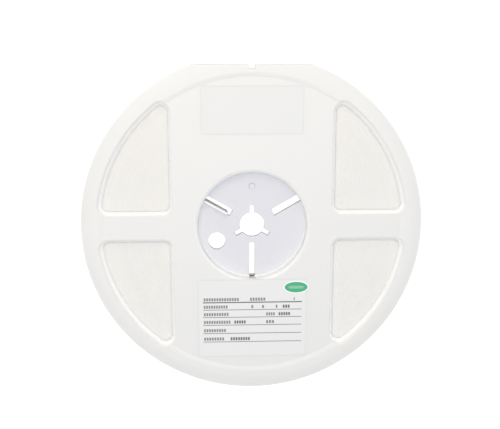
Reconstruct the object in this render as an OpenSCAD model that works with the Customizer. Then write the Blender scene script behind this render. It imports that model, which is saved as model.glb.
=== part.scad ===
// Seven-inch component reel: two formed plastic shells joined at the hub,
// wound with 8 mm punched paper tape, with its labels on the front flange.
// The origin is the centre of the arbor hole at mid-width. +Z points out of the
// labelled face and +Y points to the flat edge.

/* [Reel] */
// Outside diameter of the flanges
reel_d = 178; // [174:1:182]
// Largest width over both flanges
reel_w = 14.2; // [13.8:0.1:14.4]
// Clear width between the flanges at the edges of the windows
inner_w = 9; // [8.8:0.1:9.4]
// Diameter of the hub that the tape is wound on
hub_d = 59; // [56:0.5:61]
// Thickness of the plastic sheet
sheet = 1; // [0.8:0.1:1.2]

/* [Flange] */
// Height of the outer ring above the flat field
ring_rise = 0.4; // [0.3:0.05:0.45]
// Distance from the rim to the middle of the ring's crown
ring_inset = 7.9; // [7.6:0.1:8]
// Radius of the ring's section on the crown's inner side
ring_round = 15; // [12:1:15]
// Radius of the ring's section from the crown out to the rim
rim_round = 50; // [40:1:60]
// Height that the full round sections would stand above the flat crown
crown_cut = 0.05; // [0.04:0.01:0.1]
// Outer radius of the bend where the hub wall turns into the flange
lip_round = 1.8; // [1.4:0.1:2.8]
// Radius of the fillet between the hub floor and its wall
floor_fillet = 0.8; // [0.4:0.1:1.2]

/* [Flat edge] */
// Distance from the hub's axis to the flat edge
flat_y = 83.3; // [82:0.1:86]
// Width of the notch in the flat edge
notch_w = 3.3; // [2:0.1:5]
// Depth of the notch in the flat edge
notch_depth = 2; // [1:0.1:3]

/* [Windows] */
// Width of the upright band between the left and right windows
band_w = 86; // [82:1:90]
// Width of the cross band between the upper and lower windows
cross_w = 16.2; // [14:0.1:20]
// Distance from the rim to the outer edge of a window
window_inset = 10.2; // [10:0.1:12]
// Radius of a window's corners
window_corner = 3.5; // [2:0.1:5]
// Slope of the window walls, in degrees from the flange's plane
wall_slope = 58; // [50:1:62]
// Radius of the round shoulder above a window wall
shoulder_round = 4.5; // [3.5:0.1:5]
// Slope of the window wall where its round shoulder ends, in degrees
fade_slope = 20; // [18:1:24]

/* [Hub] */
// Diameter of the arbor hole
arbor_d = 13; // [12.8:0.1:13.2]
// Width of the three keyways
key_w = 2.4; // [2:0.1:2.8]
// Distance from the axis to the end of a keyway
key_reach = 10.3; // [10.1:0.1:11]
// Width of the two wide tape slots
wide_slot_w = 3.8; // [3:0.1:4.4]
// Distance from the axis to the inner end of a wide tape slot
wide_slot_start = 12.6; // [12:0.1:15]
// Width of the narrow tape slot
narrow_slot_w = 2.9; // [2.4:0.1:3.4]
// Distance from the axis to the inner end of the narrow tape slot
narrow_slot_start = 9.8; // [9:0.1:12]
// Diameter of the round drive hole
drive_d = 9.2; // [8:0.1:10]
// Distance from the axis to the drive hole and to the locating stud
drive_r = 20.6; // [19:0.1:22]
// Direction of the drive hole, in degrees from +X
drive_angle = 205; // [200:1:215]
// Diameter of the locating stud that joins the shells
stud_d = 3; // [2.4:0.1:3.6]
// Height of the stud above the hub floor
stud_rise = 0.6; // [0.4:0.1:1]

/* [Tape] */
// Width of the paper tape
tape_w = 8; // [7.9:0.1:8.1]
// Thickness of one turn of tape
turn_t = 0.9; // [0.8:0.05:1.2]
// Outside diameter of the roll of tape
roll_d = 160; // [120:1:164]
// Depth of the groove between two turns
groove_depth = 0.15; // [0.1:0.05:0.25]
// Width of the groove between two turns
groove_w = 0.2; // [0.1:0.05:0.3]
// Arc of the last turn that is wound before the tape ends, in degrees
last_turn_arc = 300; // [240:10:330]
// Length of the inner tape end that lies in the hub slot
tail_reach = 15; // [8:1:16]
// Thickness of the tape itself
paper_t = 0.85; // [0.75:0.05:0.9]
// Distance between two sprocket holes, and between two pockets
hole_pitch = 4; // [4:4:8]
// Diameter of a sprocket hole
sprocket_d = 1.5; // [1.4:0.1:1.6]
// Distance from the tape's edge to the middle of the sprocket holes
sprocket_edge = 1.75; // [1.65:0.05:1.85]
// Distance from the sprocket holes' line to the pockets' line
pocket_line = 3.5; // [3.4:0.05:3.6]
// Length of a pocket along the tape
pocket_l = 1.6; // [1:0.1:2.4]
// Width of a pocket across the tape
pocket_w = 2.4; // [1.6:0.1:3.5]
// Width of the clear cover tape
cover_w = 5.4; // [5.2:0.1:5.6]
// Thickness of the clear cover tape
cover_t = 0.08; // [0.06:0.01:0.1]
// Length of the tab that holds the tape end down
tab_length = 30; // [20:1:40]
// Thickness of the tab
tab_t = 0.12; // [0.08:0.01:0.2]

/* [Labels] */
// Width of the printed label
label_w = 57.8; // [50:0.1:58]
// Height of the printed label
label_h = 42.9; // [36:0.1:43]
// Distance from the hub's axis to the upper edge of the printed label
label_top = 28.6; // [28:0.1:33]
// Width of the blank label
blank_w = 52.4; // [40:0.1:54]
// Height of the blank label
blank_h = 24.4; // [16:0.1:25]
// Distance from the hub's axis to the lower edge of the blank label
blank_bottom = 48.4; // [46:0.1:50]
// Radius of the labels' corners
label_corner = 0.8; // [0.4:0.1:1.5]
// Thickness of the labels and the sticker
paper_label_t = 0.12; // [0.08:0.01:0.2]
// Width of the oval sticker
oval_w = 13.4; // [10:0.1:16]
// Height of the oval sticker
oval_h = 7; // [5:0.1:8]
// Distance that the oval sticker stands over the printed label's side
oval_over = 1; // [0.2:0.1:2]
// Distance from the printed label's upper edge down to the oval sticker
oval_drop = 0.9; // [0:0.1:4]

/* [Fits] */
// Clearance round the locating stud, and between the roll and the hub
fit = 0.1; // [0.05:0.01:0.2]
// Gap between the tape's inner end and the side of its hub slot
tail_gap = 0.4; // [0.2:0.1:0.8]

/* [Hidden] */
$fn = 96;

rim_r = reel_d / 2;
crown_z = reel_w / 2;
field_z = crown_z - ring_rise;
edge_z = inner_w / 2;
crown_r = rim_r - ring_inset;
hub_r = hub_d / 2;
well_r = hub_r - sheet;
lip_r = well_r + lip_round;
lip_z = field_z - lip_round;

window_r = rim_r - window_inset;
corner_r = window_r - window_corner;
corner_x = band_w / 2 + window_corner;
corner_y = cross_w / 2 + window_corner;
low_angle = asin(corner_y / corner_r);
high_angle = acos(corner_x / corner_r);
low_x = corner_r * cos(low_angle);
high_y = corner_r * sin(high_angle);
// The round shoulder starts this many degrees steeper than the wall below it, and the
// wall runs this far into it
join_step = 4;
into = 0.15;
join_slope = wall_slope + join_step;
shoulder_z = crown_z - shoulder_round * (cos(fade_slope) - cos(join_slope));
slope_run = (shoulder_z - edge_z) / tan(wall_slope);
wall_run = slope_run + shoulder_round * (sin(join_slope) - sin(fade_slope));

roll_r = roll_d / 2;
bore_r = hub_r + fit;
turns = floor((roll_r - bore_r) / turn_t);
pitch = (roll_r - bore_r) / turns;
under_r = roll_r - pitch;
tail_angle = 150;
tail_start = hub_r - tail_reach;
tail_side = wide_slot_w / 2 - paper_t - tail_gap;
sprocket_z = sprocket_edge - tape_w / 2;
cover_z = sprocket_z + pocket_line;
hole_angle = hole_pitch / roll_r * 180 / PI;
punch_r = roll_r - paper_t;
tab_arc = tab_length / roll_r * 180 / PI;
riser_arc = tab_t / roll_r * 180 / PI;

over = 1;
// A window's long walls lie this much inside its corners and reach this far into them,
// so that the swept walls always overlap
seam = 0.05;
reach = 0.3;

// Section of the outer ring on one side of its crown, from radius r0 to r1
module ring_side(round_r, r0, r1) {
    intersection() {
        translate([crown_r, crown_z + crown_cut - round_r]) circle(round_r, $fn = 180);
        translate([r0, edge_z]) square([r1 - r0, crown_z - edge_z]);
    }
}

// Section of the solid under one flange's outer face: the flat field, the ring's short rise
// and its long fall to the rim
module relief_section() {
    translate([lip_r, edge_z]) square([crown_r - lip_r, field_z - edge_z]);
    ring_side(ring_round, corner_r, crown_r);
    ring_side(rim_round, crown_r, rim_r);
}

// Section cut away round a window, x outwards from its edge and y upwards
module window_section() {
    difference() {
        translate([-window_corner, edge_z - over])
            square([window_corner + wall_run, crown_z + 2 * over - edge_z]);
        translate([slope_run + shoulder_round * sin(join_slope),
                   shoulder_z - shoulder_round * cos(join_slope)])
            circle(shoulder_round, $fn = 120);
        polygon([[-over / tan(wall_slope), edge_z - over],
                 [slope_run + into, shoulder_z + into * tan(wall_slope)],
                 [wall_run + over, shoulder_z],
                 [wall_run + over, edge_z - over]]);
    }
}

// The middle of the upper right window, out to its long curved wall
module window_middle() {
    reach_angle = reach / window_r * 180 / PI;
    intersection() {
        translate([0, 0, edge_z - over])
            cylinder(h = crown_z + 2 * over - edge_z, r = corner_r + over);
        translate([corner_x - over, corner_y - over, edge_z - over])
            cube([rim_r, rim_r, crown_z + 2 * over - edge_z]);
    }
    rotate([0, 0, low_angle - reach_angle])
        rotate_extrude(angle = high_angle - low_angle + 2 * reach_angle)
        translate([window_r - seam, 0]) window_section();
}

// The two straight walls of that window
module window_sides() {
    translate([band_w / 2 + seam, high_y + reach, 0]) mirror([1, 0, 0]) rotate([90, 0, 0])
        linear_extrude(high_y - corner_y + 2 * reach) window_section();
    translate([corner_x - reach, cross_w / 2 + seam, 0]) mirror([0, 1, 0]) rotate([90, 0, 90])
        linear_extrude(low_x - corner_x + 2 * reach) window_section();
}

// One corner of a window, swept about its centre
module window_turn(x, y, start, end) {
    translate([x, y, 0]) rotate([0, 0, start])
        rotate_extrude(angle = end - start) translate([window_corner, 0]) window_section();
}

// The three corners of that window
module window_turns() {
    window_turn(corner_x, corner_y, 180, 270);
    window_turn(low_x, corner_y, -90, low_angle);
    window_turn(corner_x, high_y, high_angle, 180);
}

// Repeats a part of the upper right window at all four windows
module each_window() {
    for (x = [0, 1], y = [0, 1]) mirror([x, 0, 0]) mirror([0, y, 0]) children();
}

// The solid under one flange's outer face, with the four windows cut out
module relief() {
    difference() {
        rotate_extrude() relief_section();
        each_window() window_middle();
        each_window() window_sides();
        each_window() window_turns();
    }
}

// Half of the hub: its floor, its wall and the bend into the flange
module hub_half() {
    rotate_extrude() {
        square([hub_r, sheet]);
        translate([well_r, 0]) square([sheet, lip_z]);
        translate([well_r - floor_fillet, sheet]) difference() {
            square(floor_fillet);
            translate([0, floor_fillet]) circle(floor_fillet);
        }
        intersection() {
            translate([lip_r, lip_z]) difference() {
                circle(lip_round);
                circle(lip_round - sheet);
            }
            translate([well_r, lip_z]) square(lip_round);
        }
    }
}

// A slot through the hub's floor and wall, along +X
module tape_slot(start, width) {
    translate([start, -width / 2, -over]) cube([lip_r - start, width, lip_z + over]);
}

// Every opening in the hub of one shell
module hub_openings() {
    translate([0, 0, -over]) cylinder(h = sheet + 2 * over, d = arbor_d);
    for (a = [90, 210, 330]) rotate([0, 0, a])
        translate([0, -key_w / 2, -over]) cube([key_reach, key_w, sheet + 2 * over]);
    for (a = [30, tail_angle]) rotate([0, 0, a]) tape_slot(wide_slot_start, wide_slot_w);
    rotate([0, 0, 270]) tape_slot(narrow_slot_start, narrow_slot_w);
    rotate([0, 0, drive_angle]) translate([drive_r, 0, -over])
        cylinder(h = sheet + 2 * over, d = drive_d);
}

// The flat on the rim and the notch in it
module flat_and_notch() {
    translate([-rim_r, flat_y, -over]) cube([reel_d, rim_r, reel_w]);
    translate([-notch_w / 2, flat_y - notch_depth, -over]) cube([notch_w, rim_r, reel_w]);
}

// One formed shell, its open side facing -Z
module shell() {
    difference() {
        union() {
            hub_half();
            difference() {
                relief();
                translate([0, 0, -sheet]) relief();
            }
        }
        hub_openings();
        flat_and_notch();
    }
}

module front_shell() {
    color("white") difference() {
        shell();
        translate([0, drive_r, -over]) cylinder(h = sheet + 2 * over, d = stud_d + 2 * fit, $fn = 48);
    }
}

module rear_shell() {
    color("whitesmoke") {
        mirror([0, 0, 1]) shell();
        translate([0, drive_r, -sheet]) cylinder(h = 2 * sheet + stud_rise, d = stud_d, $fn = 48);
    }
}

// Section of the wound turns, with a groove between each pair of neighbours
module turns_section(first, last) {
    function groove(i, z, s) = [
        [bore_r + i * pitch - s * groove_w / 2, z],
        [bore_r + i * pitch, z - sign(z) * groove_depth],
        [bore_r + i * pitch + s * groove_w / 2, z]
    ];
    r0 = bore_r + first * pitch;
    r1 = bore_r + last * pitch;
    z = tape_w / 2;
    polygon(concat(
        [[r0, -z], [r0, z]],
        [for (i = [first + 1 : 1 : last - 1]) each groove(i, z, 1)],
        [[r1, z], [r1, -z]],
        [for (i = [last - 1 : -1 : first + 1]) each groove(i, -z, -1)]
    ));
}

// The last turn, with its sprocket holes and its empty pockets punched through the paper
module last_turn() {
    difference() {
        rotate_extrude(angle = last_turn_arc) translate([under_r, -tape_w / 2])
            square([pitch, tape_w]);
        for (a = [hole_angle / 2 : hole_angle : last_turn_arc - hole_angle / 2]) rotate([0, 0, a]) {
            translate([punch_r, 0, sprocket_z]) rotate([0, 90, 0])
                cylinder(h = paper_t + over, d = sprocket_d, $fn = 24);
            translate([punch_r, -pocket_l / 2, cover_z - pocket_w / 2])
                cube([paper_t + over, pocket_l, pocket_w]);
        }
    }
}

module paper_tape() {
    color("cornsilk") {
        rotate_extrude() turns_section(0, turns - 1);
        last_turn();
        rotate([0, 0, tail_angle]) translate([tail_start, tail_side, -tape_w / 2])
            cube([bore_r + pitch / 2 - tail_start, paper_t, tape_w]);
    }
}

// A strip round the roll, from radius r and of thickness t
module strip(r, t, width, middle, start, arc) {
    rotate([0, 0, start]) rotate_extrude(angle = arc)
        translate([r, middle - width / 2]) square([t, width]);
}

module cover_tape() {
    color("lightcyan") strip(roll_r, cover_t, cover_w, cover_z, 0, last_turn_arc);
}

module end_tab() {
    color("ivory") {
        top_r = roll_r + cover_t;
        strip(top_r, tab_t, tape_w, 0, last_turn_arc - tab_arc / 2, tab_arc / 2 + riser_arc);
        strip(under_r, top_r + tab_t - under_r, tape_w, 0, last_turn_arc, riser_arc);
        strip(under_r, tab_t, tape_w, 0, last_turn_arc, tab_arc / 2);
    }
}

// A flat label with rounded corners, from its lower left corner
module label_plate(w, h) {
    linear_extrude(paper_label_t) {
        translate([label_corner, 0]) square([w - 2 * label_corner, h]);
        translate([0, label_corner]) square([w, h - 2 * label_corner]);
        for (x = [label_corner, w - label_corner], y = [label_corner, h - label_corner])
            translate([x, y]) circle(label_corner, $fn = 32);
    }
}

module printed_label() {
    color("white") translate([-label_w / 2, -label_top - label_h, field_z])
        label_plate(label_w, label_h);
}

module blank_label() {
    color("white") translate([-blank_w / 2, blank_bottom, field_z]) label_plate(blank_w, blank_h);
}

module oval_sticker() {
    sides = 48;
    color("mediumseagreen")
        translate([label_w / 2 + oval_over - oval_w / 2, -label_top - oval_drop - oval_h / 2,
                   field_z + paper_label_t])
        linear_extrude(paper_label_t)
        polygon([for (i = [0 : sides - 1])
            [oval_w / 2 * cos(i * 360 / sides), oval_h / 2 * sin(i * 360 / sides)]]);
}

front_shell();
rear_shell();
paper_tape();
cover_tape();
end_tab();
printed_label();
blank_label();
oval_sticker();
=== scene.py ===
"""Looks of a seven-inch tape reel: its finishes, its printed marks, the lights and the camera."""

import math

import bmesh
import bpy
from bpy.props import FloatProperty, FloatVectorProperty, PointerProperty
from mathutils import Matrix, Vector


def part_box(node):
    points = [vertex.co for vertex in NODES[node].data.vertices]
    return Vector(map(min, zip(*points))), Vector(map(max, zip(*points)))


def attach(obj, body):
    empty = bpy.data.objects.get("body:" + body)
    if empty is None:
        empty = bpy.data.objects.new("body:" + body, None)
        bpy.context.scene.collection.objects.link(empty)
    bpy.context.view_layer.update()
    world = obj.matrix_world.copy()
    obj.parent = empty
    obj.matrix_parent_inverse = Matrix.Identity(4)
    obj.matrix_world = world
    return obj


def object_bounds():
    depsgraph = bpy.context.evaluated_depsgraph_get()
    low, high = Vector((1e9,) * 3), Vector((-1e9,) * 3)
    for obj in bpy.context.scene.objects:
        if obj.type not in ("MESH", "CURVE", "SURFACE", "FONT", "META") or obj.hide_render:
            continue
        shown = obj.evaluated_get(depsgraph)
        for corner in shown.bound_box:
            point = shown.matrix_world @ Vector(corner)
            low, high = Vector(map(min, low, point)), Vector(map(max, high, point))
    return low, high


bl_info = {
    "name": "Tape Reel Looks",
    "version": (1, 0, 0),
    "blender": (4, 5, 0),
    "location": "3D Viewport > Sidebar > Reel",
    "description": "Finishes, printed marks, lights and camera for a component tape reel",
    "category": "Object",
}

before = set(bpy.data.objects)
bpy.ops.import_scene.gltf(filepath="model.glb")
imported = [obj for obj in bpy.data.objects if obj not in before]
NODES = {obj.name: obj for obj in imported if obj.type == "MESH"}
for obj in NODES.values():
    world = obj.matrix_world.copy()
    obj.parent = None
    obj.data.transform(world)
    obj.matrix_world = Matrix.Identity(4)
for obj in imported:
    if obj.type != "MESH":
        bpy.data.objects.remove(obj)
CAD_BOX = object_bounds()

MM = 0.001
WHITE = (1.0, 1.0, 1.0, 1.0)

FLOOR_Z = CAD_BOX[0].z
LABEL_LOW, LABEL_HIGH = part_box("printed_label")
OVAL_LOW, OVAL_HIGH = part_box("oval_sticker")

# Radius of the well that has the hub's floor at its bottom
HUB_R = 28.5 * MM
# Tone of the faint clouds in plastic and paper, as a share of the surface's own
CLOUD_TONE = 0.985
# Share of the light that goes into plastic and paper tape, and how deep it goes
GLOW_SHARE = 0.4
GLOW_DEPTH = 1.2 * MM

# Sizes of the label paper's fibres and clouds, and their shares in its unevenness
PAPER_FIBRE, PAPER_CLOUD = 0.3 * MM, 14 * MM
PAPER_FIBRE_SHARE, PAPER_CLOUD_SHARE = 0.3, 0.7
PAPER_ROUGHNESS, PAPER_FIBRE_ROUGHNESS = 0.62, 0.12
PAPER_RELIEF = 0.012 * MM
# Width of the painted shadow along a label's edges, and its tone as a share of the paper's own
EDGE_SHADOW_WIDTH = 0.3 * MM
EDGE_SHADOW_TONE = 0.91


# ---------------------------------------------------------------- shader nodes


def both_ways(operation):
    """A Math operation as a Python operator, in its plain and its reflected form."""

    def plain(wire, other):
        return wire.maths(operation, wire, other)

    def reflected(wire, other):
        return wire.maths(operation, other, wire)

    return plain, reflected


class Wire:
    """One output of a shader tree. An expression on wires adds the Math nodes that work it out."""

    def __init__(self, nodes, socket):
        self.nodes = nodes
        self.socket = socket

    def maths(self, operation, *values):
        """The output of a Math node on these values."""
        settings = {"operation": operation}
        return self.nodes.node("ShaderNodeMath", settings, dict(enumerate(values)))

    __add__, __radd__ = both_ways("ADD")
    __sub__, __rsub__ = both_ways("SUBTRACT")
    __mul__, __rmul__ = both_ways("MULTIPLY")
    __truediv__, __rtruediv__ = both_ways("DIVIDE")
    __pow__, __rpow__ = both_ways("POWER")

    def __abs__(self):
        return self.maths("ABSOLUTE", self)

    def root(self):
        """The square root of this value."""
        return self.maths("SQRT", self)

    def swing(self, width):
        """This value from 0 to 1, as a change of that width with 0 in its middle."""
        return (self - 0.5) * width

    def below(self, limit, softness):
        """1 where this value is under the limit and 0 above it, with a soft step."""
        settings = {"interpolation_type": "SMOOTHSTEP"}
        inputs = {"Value": self, "From Min": limit - softness, "From Max": limit + softness,
                  "To Min": 1.0, "To Max": 0.0}
        return self.nodes.node("ShaderNodeMapRange", settings, inputs)


class Nodes:
    """A shader tree that starts empty, and what its nodes are made with."""

    def __init__(self, tree):
        self.tree = tree
        tree.nodes.clear()

    def node(self, kind, settings=None, inputs=None, output=0):
        """Adds a node: its settings are set first, then each socket gets its value or its link.

        A socket goes by its name, or by its number where the names repeat.
        """
        new = self.tree.nodes.new(kind)
        for name, value in (settings or {}).items():
            setattr(new, name, value)
        for name, value in (inputs or {}).items():
            if isinstance(value, Wire):
                self.tree.links.new(value.socket, new.inputs[name])
            else:
                new.inputs[name].default_value = value
        return Wire(self, new.outputs[output]) if len(new.outputs) else None

    def seen_as(self, shown, plain):
        """A shader that is shown to the camera and is plain to all other light."""
        path = self.node("ShaderNodeLightPath", output="Is Camera Ray")
        return self.node("ShaderNodeMixShader", None, {0: path, 1: plain, 2: shown})


class Finish(Nodes):
    """The tree of a new material, with the patterns that its surface is worked out from."""

    # Sockets of a Mix node for colours: its share, its two colours and its result
    MIX_SHARE, MIX_FIRST, MIX_SECOND, MIX_RESULT = 0, 6, 7, 2

    def __init__(self, name):
        self.material = bpy.data.materials.new(name)
        self.material.use_nodes = True
        super().__init__(self.material.node_tree)

    def place(self):
        """The point on the surface, in metres in the reel's own frame."""
        return self.node("ShaderNodeTexCoord", output="Object")

    def axes(self):
        """That point's x, y and z."""
        split = self.node("ShaderNodeSeparateXYZ", None, {"Vector": self.place()})
        outputs = split.socket.node.outputs
        return tuple(Wire(self, outputs[name]) for name in ("X", "Y", "Z"))

    def noise(self, size, detail=2.0, at=None):
        """Noise from 0 to 1 whose blotches are about that size, in metres."""
        inputs = {"Vector": at or self.place(), "Scale": 1.0 / size, "Detail": detail}
        return self.node("ShaderNodeTexNoise", None, inputs)

    def mix(self, share, first, second):
        """One colour where share is 0 and the other where it is 1."""
        inputs = {self.MIX_SHARE: share, self.MIX_FIRST: first, self.MIX_SECOND: second}
        return self.node("ShaderNodeMix", {"data_type": "RGBA"}, inputs, self.MIX_RESULT)

    def bump(self, height, depth):
        """A normal from a height of 0 to 1 that stands for that depth, in metres."""
        inputs = {"Height": height, "Strength": 1.0, "Distance": depth}
        return self.node("ShaderNodeBump", None, inputs)

    def surface(self, **sockets):
        """Ends the material with a Principled shader. A name's underscores stand for spaces."""
        inputs = {name.replace("_", " "): value for name, value in sockets.items()}
        self.end(self.node("ShaderNodeBsdfPrincipled", None, inputs))

    def end(self, shader):
        """Makes that shader the material's surface."""
        self.node("ShaderNodeOutputMaterial", None, {"Surface": shader})


def tint(colour, tone=1.0, lift=0.0):
    """A colour times a tone, with a lift added, as the four numbers that a colour socket takes."""
    return (*(channel * tone + lift for channel in colour[:3]), 1.0)


def paint(node, material):
    """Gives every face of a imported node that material."""
    for slot in NODES[node].material_slots:
        slot.material = material


# ---------------------------------------------------------------- sizes and colours


class ReelFinish(bpy.types.PropertyGroup):
    """Colours and gloss of the reel's surfaces."""

    plastic: FloatVectorProperty(
        name="Plastic", description="Colour of the two formed shells",
        subtype="COLOR", size=3, min=0, max=1, default=(0.78, 0.776, 0.764))
    # Painted light: a lighter colour on the walls and recesses below the labels, standing in for
    # the light that falls on them
    painted_wall_light: FloatVectorProperty(
        name="Drawn plastic", description="Colour of the walls, where the sheet was drawn thin",
        subtype="COLOR", size=3, min=0, max=1, default=(0.95, 0.947, 0.935))
    # Painted shade: a darker, bluer colour on the hub's floor, standing in for the cool shade at
    # the bottom of its well
    hub_painted_shade: FloatVectorProperty(
        name="Hub plastic", description="Colour of the thinner plastic of the hub's floor",
        subtype="COLOR", size=3, min=0, max=1, default=(0.69, 0.692, 0.732))
    plastic_gloss: FloatProperty(
        name="Plastic roughness", description="Mean roughness of the formed plastic",
        subtype="FACTOR", min=0, max=1, default=0.42)
    tape: FloatVectorProperty(
        name="Paper tape", description="Colour of the wound paper tape",
        subtype="COLOR", size=3, min=0, max=1, default=(0.825, 0.815, 0.80))
    # Painted light: a much lighter colour on the tape in and next to the hub's well, standing in
    # for light on its shaded inner end
    tape_painted_light: FloatVectorProperty(
        name="Inner end", description="Colour of the clean inner end of the tape, in its hub slot",
        subtype="COLOR", size=3, min=0, max=1, default=(0.97, 0.96, 0.94))
    tape_line: FloatVectorProperty(
        name="Turn line", description="Colour between two turns of tape",
        subtype="COLOR", size=3, min=0, max=1, default=(0.77, 0.755, 0.72))
    turn: FloatProperty(
        name="Turn", description="Thickness of one turn of tape",
        unit="LENGTH", min=0.0005, max=0.002, default=0.9 * MM)
    film: FloatVectorProperty(
        name="Cover film", description="Colour of the clear film on the last turn",
        subtype="COLOR", size=3, min=0, max=1, default=(0.9, 0.92, 0.93))
    film_cover: FloatProperty(
        name="Film cover", description="Mean share that the clear film hides of what is under it",
        subtype="FACTOR", min=0, max=1, default=0.3)
    tab: FloatVectorProperty(
        name="End tab", description="Colour of the tab that holds the tape's end",
        subtype="COLOR", size=3, min=0, max=1, default=(0.86, 0.84, 0.78))
    tab_haze: FloatVectorProperty(
        name="End tab haze", description="Colour of the hazy spots in the tab",
        subtype="COLOR", size=3, min=0, max=1, default=(0.8, 0.78, 0.72))
    label: FloatVectorProperty(
        name="Label paper", description="Colour of the labels' paper",
        subtype="COLOR", size=3, min=0, max=1, default=(0.785, 0.785, 0.785))
    ink: FloatVectorProperty(
        name="Ink", description="Colour of the printed rules and the dark blocks",
        subtype="COLOR", size=3, min=0, max=1, default=(0.05, 0.05, 0.055))
    grey_ink: FloatVectorProperty(
        name="Grey ink", description="Colour of the lighter printed blocks",
        subtype="COLOR", size=3, min=0, max=1, default=(0.17, 0.17, 0.18))
    green: FloatVectorProperty(
        name="Sticker green", description="Colour of the oval sticker's middle",
        subtype="COLOR", size=3, min=0, max=1, default=(0.05, 0.42, 0.2))
    sticker_white: FloatVectorProperty(
        name="Sticker white", description="Colour of the oval sticker's border",
        subtype="COLOR", size=3, min=0, max=1, default=(0.92, 0.92, 0.92))
    sticker_border: FloatProperty(
        name="Sticker border", description="Width of the sticker's white border",
        unit="LENGTH", min=0, max=0.003, default=0.6 * MM)


class ReelPrint(bpy.types.PropertyGroup):
    """Sizes of the marks printed on the label."""

    margin: FloatProperty(
        name="Margin", description="Distance from the label's side to the printed rules",
        unit="LENGTH", min=0, max=0.01, default=2.6 * MM)
    heavy_rule: FloatProperty(
        name="Heavy rule", description="Thickness of the rule under the first row",
        unit="LENGTH", min=0.0002, max=0.002, default=0.6 * MM)
    fine_rule: FloatProperty(
        name="Fine rule", description="Thickness of the other rules",
        unit="LENGTH", min=0.0001, max=0.001, default=0.33 * MM)
    block: FloatProperty(
        name="Block height", description="Height of the plain blocks that fill the rows",
        unit="LENGTH", min=0.0005, max=0.003, default=1.7 * MM)
    lift: FloatProperty(
        name="Block lift", description="Distance from a rule up to the middle of its blocks",
        unit="LENGTH", min=0.001, max=0.003, default=1.65 * MM)
    cell: FloatProperty(
        name="Cell", description="Distance from one block to the next",
        unit="LENGTH", min=0.0005, max=0.003, default=1.35 * MM)
    cell_fill: FloatProperty(
        name="Cell fill", description="Share of the cell that its block takes",
        subtype="FACTOR", min=0.1, max=1, default=0.72)
    ink_depth: FloatProperty(
        name="Ink depth", description="Height of the printed marks above the paper",
        unit="LENGTH", min=0.000005, max=0.0001, default=0.01 * MM)


class ReelStage(bpy.types.PropertyGroup):
    """The camera and the lamps."""

    distance: FloatProperty(
        name="Camera distance", description="Distance from the camera to the reel's centre",
        unit="LENGTH", min=0.2, max=3, default=0.454)
    top_tilt: FloatProperty(
        name="Tilt to the top",
        description="Angle that the camera stands over to the flat edge's side",
        subtype="ANGLE", default=math.radians(12.7))
    left_tilt: FloatProperty(
        name="Tilt to the left", description="Angle that the camera stands over to the left",
        subtype="ANGLE", default=math.radians(2.5))
    lens: FloatProperty(
        name="Lens", description="Focal length of the camera in millimetres",
        min=20, max=200, default=62.7)
    sky: FloatProperty(
        name="Sky", description="Strength of the even light from all round",
        min=0, max=4, default=0.47)
    overhead: FloatProperty(
        name="Overhead lamp", description="Power of the large soft lamp straight above the reel",
        unit="POWER", min=0, max=200, default=5.1)
    near: FloatProperty(
        name="Near lamp", description="Power of the warm lamp close over the upper left",
        unit="POWER", min=0, max=200, default=1.3)
    edge: FloatProperty(
        name="Edge lamp", description="Power of the low lamp on the flat edge's side",
        unit="POWER", min=0, max=200, default=2.4)


# ---------------------------------------------------------------- pieces


class REEL_OT_shells(bpy.types.Operator):
    """Finish both shells as white plastic sheet formed over a mould"""

    bl_idname = "reel.shells"
    bl_label = "Formed shells"

    # Sizes of the slow clouds, of the mould's peel and of the fine grain
    CLOUD, PEEL, GRAIN = 45 * MM, 1.6 * MM, 0.25 * MM
    # How much the peel and the grain change the roughness
    PEEL_ROUGHNESS, GRAIN_ROUGHNESS = 0.1, 0.12
    # Shares of the peel and the grain in the relief, and its depth
    PEEL_SHARE, GRAIN_SHARE = 0.8, 0.2
    RELIEF = 0.01 * MM
    # The hub's floor, which gets painted cool shade: softness of its round edge, its greatest
    # height and that limit's softness
    HUB_SOFT = 0.6 * MM
    HUB_Z, HUB_Z_SOFT = 3 * MM, 1.5 * MM
    # The walls and recesses that get painted light: their greatest height, just under the labels,
    # and that limit's softness
    WALL_Z, WALL_Z_SOFT = LABEL_LOW.z - 0.25 * MM, 0.3 * MM
    # How far red, green and blue light go into the plastic, as shares of the depth
    GLOW_REACH = (1.0, 1.0, 1.0)
    REFRACTION = 1.5

    def execute(self, context):
        look = context.scene.reel_finish
        f = Finish("formed_plastic")
        cloud = f.noise(self.CLOUD, detail=1.0)
        peel = f.noise(self.PEEL)
        grain = f.noise(self.GRAIN, detail=3.0)
        x, y, z = f.axes()
        radius = (x * x + y * y).root()
        # Painted shade: the hub's floor gets the darker, bluer hub colour
        hub = (radius.below(HUB_R - self.HUB_SOFT, self.HUB_SOFT)
               * abs(z).below(self.HUB_Z, self.HUB_Z_SOFT))
        # Painted light: walls and recesses below the labels' level get a lighter colour in place
        # of the light that falls on them
        wall_light_mask = abs(z).below(self.WALL_Z, self.WALL_Z_SOFT)
        sheet = f.mix(cloud, tint(look.plastic), tint(look.plastic, CLOUD_TONE))
        formed = f.mix(wall_light_mask, sheet, tint(look.painted_wall_light))
        f.surface(
            Base_Color=f.mix(hub, formed, tint(look.hub_painted_shade)),
            Roughness=(look.plastic_gloss + grain.swing(self.GRAIN_ROUGHNESS)
                       + peel.swing(self.PEEL_ROUGHNESS)),
            Normal=f.bump(peel * self.PEEL_SHARE + grain * self.GRAIN_SHARE, self.RELIEF),
            IOR=self.REFRACTION,
            Subsurface_Weight=GLOW_SHARE,
            Subsurface_Radius=self.GLOW_REACH,
            Subsurface_Scale=GLOW_DEPTH,
        )
        for node in ("front_shell", "rear_shell"):
            paint(node, f.material)
        return {"FINISHED"}


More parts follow.
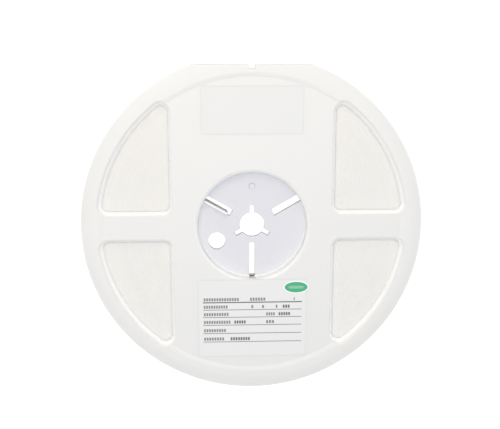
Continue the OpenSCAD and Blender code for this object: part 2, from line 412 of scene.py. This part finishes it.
class REEL_OT_wound_tape(bpy.types.Operator):
    """Finish the roll as paper tape seen on its edges, turn by turn"""

    bl_idname = "reel.wound_tape"
    bl_label = "Wound tape"

    # Size of the paper's fibres
    FIBRE = 0.35 * MM
    # Streaks to one turn across the roll, and to one metre of its surface
    STREAKS_TURN, STREAKS_METRE = 0.7, 12
    # Mean share of the line's colour, and how much turns, streaks and fibres change it
    LINE_SHARE = 0.25
    TURN_CHANGE, STREAK_CHANGE, FIBRE_CHANGE = 0.5, 0.5, 0.3
    # How far past the hub's well the painted light on the tape's inner turn and its end in the hub
    # slot reaches, and that limit's softness
    END_REACH, END_SOFT = 1.5 * MM, 0.3 * MM
    ROUGHNESS, FIBRE_ROUGHNESS = 0.78, 0.15
    RELIEF = 0.03 * MM
    # How far red, green and blue light go into the paper, as shares of the depth
    GLOW_REACH = (1.0, 1.0, 0.9)

    def execute(self, context):
        look = context.scene.reel_finish
        f = Finish("paper_tape_edges")
        x, y, z = f.axes()
        radius = (x * x + y * y).root()
        turns = radius / look.turn
        turn = f.node("ShaderNodeTexNoise", {"noise_dimensions": "1D"},
                      {"W": turns, "Scale": 1.0, "Detail": 3.0})
        streak_at = f.node("ShaderNodeCombineXYZ", None, {
            "X": turns * self.STREAKS_TURN,
            "Y": x * self.STREAKS_METRE,
            "Z": y * self.STREAKS_METRE,
        })
        streak = f.noise(1.0, at=streak_at)
        fibre = f.noise(self.FIBRE, detail=4.0)
        change = (turn.swing(self.TURN_CHANGE) + streak.swing(self.STREAK_CHANGE)
                  + fibre.swing(self.FIBRE_CHANGE))
        wound = f.mix(self.LINE_SHARE + change, tint(look.tape), tint(look.tape_line))
        # Painted light: the tape within the hub's well and its first turn get the lighter colour
        inner = radius.below(HUB_R + self.END_REACH, self.END_SOFT)
        f.surface(
            Base_Color=f.mix(inner, wound, tint(look.tape_painted_light)),
            Roughness=self.ROUGHNESS + fibre.swing(self.FIBRE_ROUGHNESS),
            Normal=f.bump(fibre, self.RELIEF),
            Subsurface_Weight=GLOW_SHARE,
            Subsurface_Radius=self.GLOW_REACH,
            Subsurface_Scale=GLOW_DEPTH,
        )
        paint("paper_tape", f.material)
        return {"FINISHED"}


class REEL_OT_films(bpy.types.Operator):
    """Finish the clear cover film and the tab that holds the tape's end"""

    bl_idname = "reel.films"
    bl_label = "Cover film and tab"

    # The film: size of its ripples, and how much they change its cover and its roughness
    RIPPLE = 6 * MM
    RIPPLE_COVER = 0.1
    FILM_ROUGHNESS, RIPPLE_ROUGHNESS = 0.12, 0.1
    FILM_RELIEF = 0.05 * MM
    # The tab: size of its hazy spots, and how much they change its roughness
    HAZE = 2 * MM
    TAB_ROUGHNESS, HAZE_ROUGHNESS = 0.3, 0.2
    TAB_RELIEF = 0.03 * MM

    def execute(self, context):
        look = context.scene.reel_finish
        f = Finish("cover_film")
        ripple = f.noise(self.RIPPLE)
        f.surface(
            Base_Color=tint(look.film),
            Alpha=look.film_cover + ripple.swing(self.RIPPLE_COVER),
            Roughness=self.FILM_ROUGHNESS + ripple * self.RIPPLE_ROUGHNESS,
            Normal=f.bump(ripple, self.FILM_RELIEF),
        )
        paint("cover_tape", f.material)
        f = Finish("tab_film")
        haze = f.noise(self.HAZE, detail=3.0)
        f.surface(
            Base_Color=f.mix(haze, tint(look.tab), tint(look.tab_haze)),
            Roughness=self.TAB_ROUGHNESS + haze * self.HAZE_ROUGHNESS,
            Normal=f.bump(haze, self.TAB_RELIEF),
        )
        paint("end_tab", f.material)
        return {"FINISHED"}


def paper(name, node, colour):
    """White paper for a packed label, with its fibres and a painted shadow line along its edges.
    """
    f = Finish(name)
    fibre = f.noise(PAPER_FIBRE, detail=4.0)
    cloud = f.noise(PAPER_CLOUD)
    low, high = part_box(node)
    middle, half = (low + high) / 2, (high - low) / 2
    x, y, z = f.axes()
    # Painted shadow: a darker band along all four edges of the label
    inner = (abs(x - middle.x).below(half.x - EDGE_SHADOW_WIDTH, EDGE_SHADOW_WIDTH / 2)
             * abs(y - middle.y).below(half.y - EDGE_SHADOW_WIDTH, EDGE_SHADOW_WIDTH / 2))
    unevenness = cloud * PAPER_CLOUD_SHARE + fibre * PAPER_FIBRE_SHARE
    sheet = f.mix(unevenness, tint(colour), tint(colour, CLOUD_TONE))
    f.surface(
        Base_Color=f.mix(inner, tint(colour, EDGE_SHADOW_TONE), sheet),
        Roughness=PAPER_ROUGHNESS + fibre.swing(PAPER_FIBRE_ROUGHNESS),
        Normal=f.bump(fibre, PAPER_RELIEF),
    )
    return f.material


class REEL_OT_printed_label(bpy.types.Operator):
    """Finish the printed label: its paper, its rules and the plain blocks in its rows"""

    bl_idname = "reel.printed_label"
    bl_label = "Printed label"

    # Distance of each rule below the label's upper edge, in millimetres
    RULES = (12.5, 16.6, 20.75, 25.1, 29.75, 34.5)
    # Places of the two inks among the printed piece's materials
    BLACK, GREY = 0, 1
    # Blocks of each row: distance from the rules' left end and length, in millimetres, and ink
    ROWS = (
        ((0.4, 19.0, GREY), (25.0, 8.5, GREY), (48.3, 0.7, GREY)),
        ((0.4, 13.0, GREY), (25.7, 1.4, GREY), (31.4, 1.4, GREY), (38.8, 1.0, BLACK),
         (42.5, 4.0, BLACK)),
        ((0.4, 13.5, GREY), (33.6, 5.0, GREY), (40.3, 6.4, BLACK)),
        ((0.4, 14.5, GREY), (16.6, 6.4, BLACK), (33.6, 4.6, GREY)),
        ((0.4, 12.0, GREY),),
        ((0.4, 11.0, GREY), (14.6, 10.6, BLACK)),
    )
    # Size of the worn spots in the ink and their greatest share, and the ink's look there
    WEAR = 0.7 * MM
    WEAR_SHARE = 0.5
    WORN_TONE, WORN_LIFT = 0.5, 0.4
    ROUGHNESS, WEAR_ROUGHNESS = 0.5, 0.2

    def execute(self, context):
        look = context.scene.reel_finish
        paint("printed_label", paper("label_paper", "printed_label", look.label))
        piece = add_mesh("label_print", self.marks(context.scene.reel_print))
        for name, colour in (("label_ink", look.ink), ("label_grey_ink", look.grey_ink)):
            piece.data.materials.append(self.worn_ink(name, colour))
        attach(piece, "root")
        return {"FINISHED"}

    def marks(self, sizes):
        """The printed rules, with the row of blocks that stands on each of them."""
        left = LABEL_LOW.x + sizes.margin
        right = LABEL_HIGH.x - sizes.margin
        depth = sizes.ink_depth
        mesh = bmesh.new()
        for row, (drop, blocks) in enumerate(zip(self.RULES, self.ROWS)):
            y = LABEL_HIGH.y - drop * MM
            thick = sizes.fine_rule if row else sizes.heavy_rule
            add_mark(mesh, left, right, y, thick, depth, self.BLACK)
            for start, length, ink in blocks:
                cells = max(1, round(length * MM / sizes.cell))
                step = length * MM / cells
                for cell in range(cells):
                    x = left + start * MM + cell * step
                    end = x + step * sizes.cell_fill
                    add_mark(mesh, x, end, y + sizes.lift, sizes.block, depth, ink)
        return mesh

    def worn_ink(self, name, colour):
        """The material of one ink, with faintly worn spots."""
        f = Finish(name)
        wear = f.noise(self.WEAR, detail=3.0)
        worn = tint(colour, self.WORN_TONE, self.WORN_LIFT)
        f.surface(
            Base_Color=f.mix(wear * self.WEAR_SHARE, tint(colour), worn),
            Roughness=self.ROUGHNESS + wear * self.WEAR_ROUGHNESS,
        )
        return f.material


def add_mark(mesh, left, right, y, height, depth, ink):
    """One printed mark on the label, a very thin plate with that material."""
    middle = Vector(((left + right) / 2, y, LABEL_HIGH.z + depth / 2))
    size = Matrix.Diagonal((right - left, height, depth, 1.0))
    made = bmesh.ops.create_cube(mesh, size=1.0, matrix=Matrix.Translation(middle) @ size)
    for face in {face for corner in made["verts"] for face in corner.link_faces}:
        face.material_index = ink


def add_mesh(name, mesh):
    """A new object from a bmesh, linked to the scene."""
    data = bpy.data.meshes.new(name)
    mesh.to_mesh(data)
    mesh.free()
    piece = bpy.data.objects.new(name, data)
    bpy.context.scene.collection.objects.link(piece)
    return piece


class REEL_OT_blank_label(bpy.types.Operator):
    """Finish the plain label above the hub"""

    bl_idname = "reel.blank_label"
    bl_label = "Blank label"

    # Tone of this label's paper, as a share of the printed label's
    TONE = 0.985

    def execute(self, context):
        colour = tint(context.scene.reel_finish.label, self.TONE)
        paint("blank_label", paper("blank_paper", "blank_label", colour))
        return {"FINISHED"}


class REEL_OT_oval_sticker(bpy.types.Operator):
    """Finish the oval sticker: a green middle in a white border"""

    bl_idname = "reel.oval_sticker"
    bl_label = "Oval sticker"

    # The green oval's radius is 1, and its printed edges have this softness
    PRINT_SOFT = 0.06
    # The pale bar in the middle: how flat it is, how square its corners are, and the limit of
    # its two powers' sum
    BAR_FLATNESS, BAR_POWER, BAR_LIMIT = 2.4, 4, 0.2
    # What makes the bar's colour out of the green
    BAR_TONE, BAR_LIFT = 0.7, 0.22
    FIBRE = 0.3 * MM
    ROUGHNESS, FIBRE_ROUGHNESS = 0.45, 0.15
    RELIEF = 0.008 * MM

    def execute(self, context):
        look = context.scene.reel_finish
        f = Finish("oval_print")
        x, y, z = f.axes()
        middle, half = (OVAL_LOW + OVAL_HIGH) / 2, (OVAL_HIGH - OVAL_LOW) / 2
        across = (x - middle.x) / (half.x - look.sticker_border)
        up = (y - middle.y) / (half.y - look.sticker_border)
        inside = (across * across + up * up).below(1.0, self.PRINT_SOFT)
        powers = abs(across) ** self.BAR_POWER + abs(up * self.BAR_FLATNESS) ** self.BAR_POWER
        bar = powers.below(self.BAR_LIMIT, self.PRINT_SOFT)
        pale = tint(look.green, self.BAR_TONE, self.BAR_LIFT)
        printed = f.mix(bar, tint(look.green), pale)
        fibre = f.noise(self.FIBRE, detail=3.0)
        f.surface(
            Base_Color=f.mix(inside, tint(look.sticker_white), printed),
            Roughness=self.ROUGHNESS + fibre * self.FIBRE_ROUGHNESS,
            Normal=f.bump(fibre, self.RELIEF),
        )
        paint("oval_sticker", f.material)
        return {"FINISHED"}


# ---------------------------------------------------------------- stage


class REEL_OT_stage(bpy.types.Operator):
    """Set up the pale floor, the soft light and the camera"""

    bl_idname = "reel.stage"
    bl_label = "Floor, lights and camera"

    # Half of the floor's side, in metres
    FLOOR_HALF = 4.0
    # Tone of the floor for the light that falls on the reel. To the camera it has a darker tone,
    # which takes the shadows, and an even glow
    FLOOR_TONE = 0.8
    SEEN_TONE, SEEN_GLOW = 0.45, 0.87
    SKY_COLOUR = (0.93, 0.955, 1.0)
    # Each lamp's power among the stage's values, its place and its side in metres, its colour
    LAMPS = (
        ("overhead", (0, 0, 1.1), 0.8, (0.89, 0.935, 1.0)),
        ("near", (-0.1, 0.25, 0.6), 0.5, (1.0, 0.86, 0.66)),
        ("edge", (0, 0.9, 0.63), 0.8, (1.0, 1.0, 0.95)),
    )
    # How far the camera's view is moved to the right and up, as shares of its width
    SHIFT_RIGHT, SHIFT_UP = -0.005, 0.025

    def execute(self, context):
        scene = context.scene
        stage = scene.reel_stage
        scene.view_settings.view_transform = "Standard"
        self.lay_floor()
        self.light_sky(scene, stage.sky)
        for key, place, side, colour in self.LAMPS:
            self.hang_lamp(scene, key + "_lamp", place, side, getattr(stage, key), colour)
        self.place_camera(scene, stage)
        return {"FINISHED"}

    def lay_floor(self):
        """A white floor that looks brighter than it is, so that only shadows show on it."""
        mesh = bmesh.new()
        bmesh.ops.create_grid(mesh, x_segments=1, y_segments=1, size=self.FLOOR_HALF,
                              matrix=Matrix.Translation((0, 0, FLOOR_Z)))
        floor = add_mesh("floor", mesh)
        f = Finish("white_floor")
        plain = f.node("ShaderNodeBsdfDiffuse", None, {"Color": tint(WHITE, self.FLOOR_TONE)})
        darker = f.node("ShaderNodeBsdfDiffuse", None, {"Color": tint(WHITE, self.SEEN_TONE)})
        glow = f.node("ShaderNodeEmission", None, {"Color": WHITE, "Strength": self.SEEN_GLOW})
        shown = f.node("ShaderNodeAddShader", None, {0: darker, 1: glow})
        f.end(f.seen_as(shown, plain))
        floor.data.materials.append(f.material)

    def light_sky(self, scene, strength):
        """Even light from all round, which the camera sees as white."""
        world = bpy.data.worlds.new("studio")
        world.use_nodes = True
        scene.world = world
        sky = Nodes(world.node_tree)
        soft = sky.node("ShaderNodeBackground", None,
                        {"Color": tint(self.SKY_COLOUR), "Strength": strength})
        white = sky.node("ShaderNodeBackground", None, {"Color": WHITE})
        sky.node("ShaderNodeOutputWorld", None, {"Surface": sky.seen_as(white, soft)})

    def hang_lamp(self, scene, name, place, side, power, colour):
        """A large square lamp that faces the reel."""
        data = bpy.data.lights.new(name, "AREA")
        data.size = side
        data.energy = power
        data.color = colour
        lamp = bpy.data.objects.new(name, data)
        lamp.location = place
        lamp.rotation_euler = (-Vector(place)).to_track_quat("-Z", "Y").to_euler()
        scene.collection.objects.link(lamp)

    def place_camera(self, scene, stage):
        """The camera over the labelled face, with the flat edge at the top of its picture."""
        data = bpy.data.cameras.new("camera")
        data.lens = stage.lens
        data.shift_x = self.SHIFT_RIGHT
        data.shift_y = self.SHIFT_UP
        camera = bpy.data.objects.new("camera", data)
        back = Vector((-math.sin(stage.left_tilt), math.sin(stage.top_tilt), 1.0))
        back.z = math.sqrt(1.0 - back.x ** 2 - back.y ** 2)
        right = Vector((0, 1, 0)).cross(back).normalized()
        turn = Matrix((right, back.cross(right), back)).transposed().to_4x4()
        aim = Vector((0, 0, CAD_BOX[1].z))
        camera.matrix_world = Matrix.Translation(aim + back * stage.distance) @ turn
        scene.collection.objects.link(camera)
        scene.camera = camera


# ---------------------------------------------------------------- add-on


class REEL_PT_panel(bpy.types.Panel):
    """The reel's pieces, and the sizes and colours that shape their looks"""

    bl_idname = "REEL_PT_panel"
    bl_label = "Tape reel"
    bl_space_type = "VIEW_3D"
    bl_region_type = "UI"
    bl_category = "Reel"

    def draw(self, context):
        for operator in OPERATORS:
            self.layout.operator(operator.bl_idname)
        for name in GROUPS:
            box = self.layout.box()
            group = getattr(context.scene, name)
            for key in type(group).__annotations__:
                box.prop(group, key)


OPERATORS = (REEL_OT_shells, REEL_OT_wound_tape, REEL_OT_films, REEL_OT_printed_label,
             REEL_OT_blank_label, REEL_OT_oval_sticker, REEL_OT_stage)
GROUPS = {"reel_finish": ReelFinish, "reel_print": ReelPrint, "reel_stage": ReelStage}


def register():
    for group in GROUPS.values():
        bpy.utils.register_class(group)
    for operator in OPERATORS:
        bpy.utils.register_class(operator)
    bpy.utils.register_class(REEL_PT_panel)
    for name, group in GROUPS.items():
        setattr(bpy.types.Scene, name, PointerProperty(type=group))


def unregister():
    for name in GROUPS:
        delattr(bpy.types.Scene, name)
    bpy.utils.unregister_class(REEL_PT_panel)
    for operator in reversed(OPERATORS):
        bpy.utils.unregister_class(operator)
    for group in reversed(GROUPS.values()):
        bpy.utils.unregister_class(group)


def main():
    register()
    for operator in OPERATORS:
        group, name = operator.bl_idname.split(".")
        getattr(getattr(bpy.ops, group), name)()


if __name__ == "__main__":
    main()
